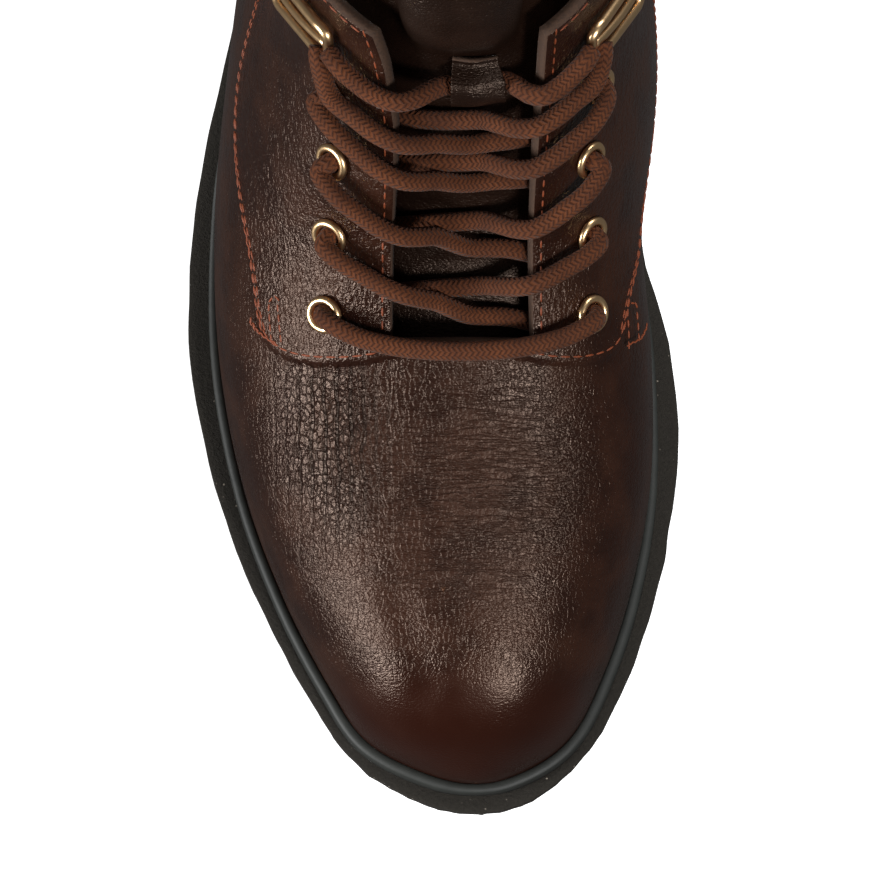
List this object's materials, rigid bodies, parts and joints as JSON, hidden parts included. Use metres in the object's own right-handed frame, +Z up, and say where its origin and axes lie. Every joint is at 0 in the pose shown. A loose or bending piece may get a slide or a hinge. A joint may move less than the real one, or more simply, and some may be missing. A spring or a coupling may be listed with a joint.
{
  "type": "lace-up ankle boot",
  "caption": "Brown pebbled leather lace-up ankle boot with eyelets, crossed round laces, padded tongue and a black rubber sole, standing empty and unlaced at the collar",
  "frame": {"origin": "centre of the heel tread, on the ground", "axes": "+Z up, -Y towards the toe, +X towards the medial side of this right boot"},
  "size_m": [0.1055, 0.2691, 0.1729],
  "materials": {
    "leather": "semi-gloss pebbled leather",
    "rubber": "matte",
    "gold": "polished pale gold",
    "lace": "round braid, waxed",
    "sock": "matte"
  },
  "bodies": {
    "root": {"upper": "leather", "tongue": "leather", "tongue_strap": "leather", "insole": "sock", "welt": "rubber", "outsole": "rubber", "eyelet_l1": "gold", "eyelet_l2": "gold", "eyelet_l3": "gold", "eyelet_l4": "gold", "eyelet_r1": "gold", "eyelet_r2": "gold", "eyelet_r3": "gold", "eyelet_r4": "gold", "top_loop_l": "gold", "top_loop_r": "gold", "lace_bar": "lace", "lace_cross_2": "lace", "lace_cross_3": "lace", "lace_cross_4": "lace", "lace_cross_5": "lace", "lace_top": "lace"}
  },
  "joints": []
}
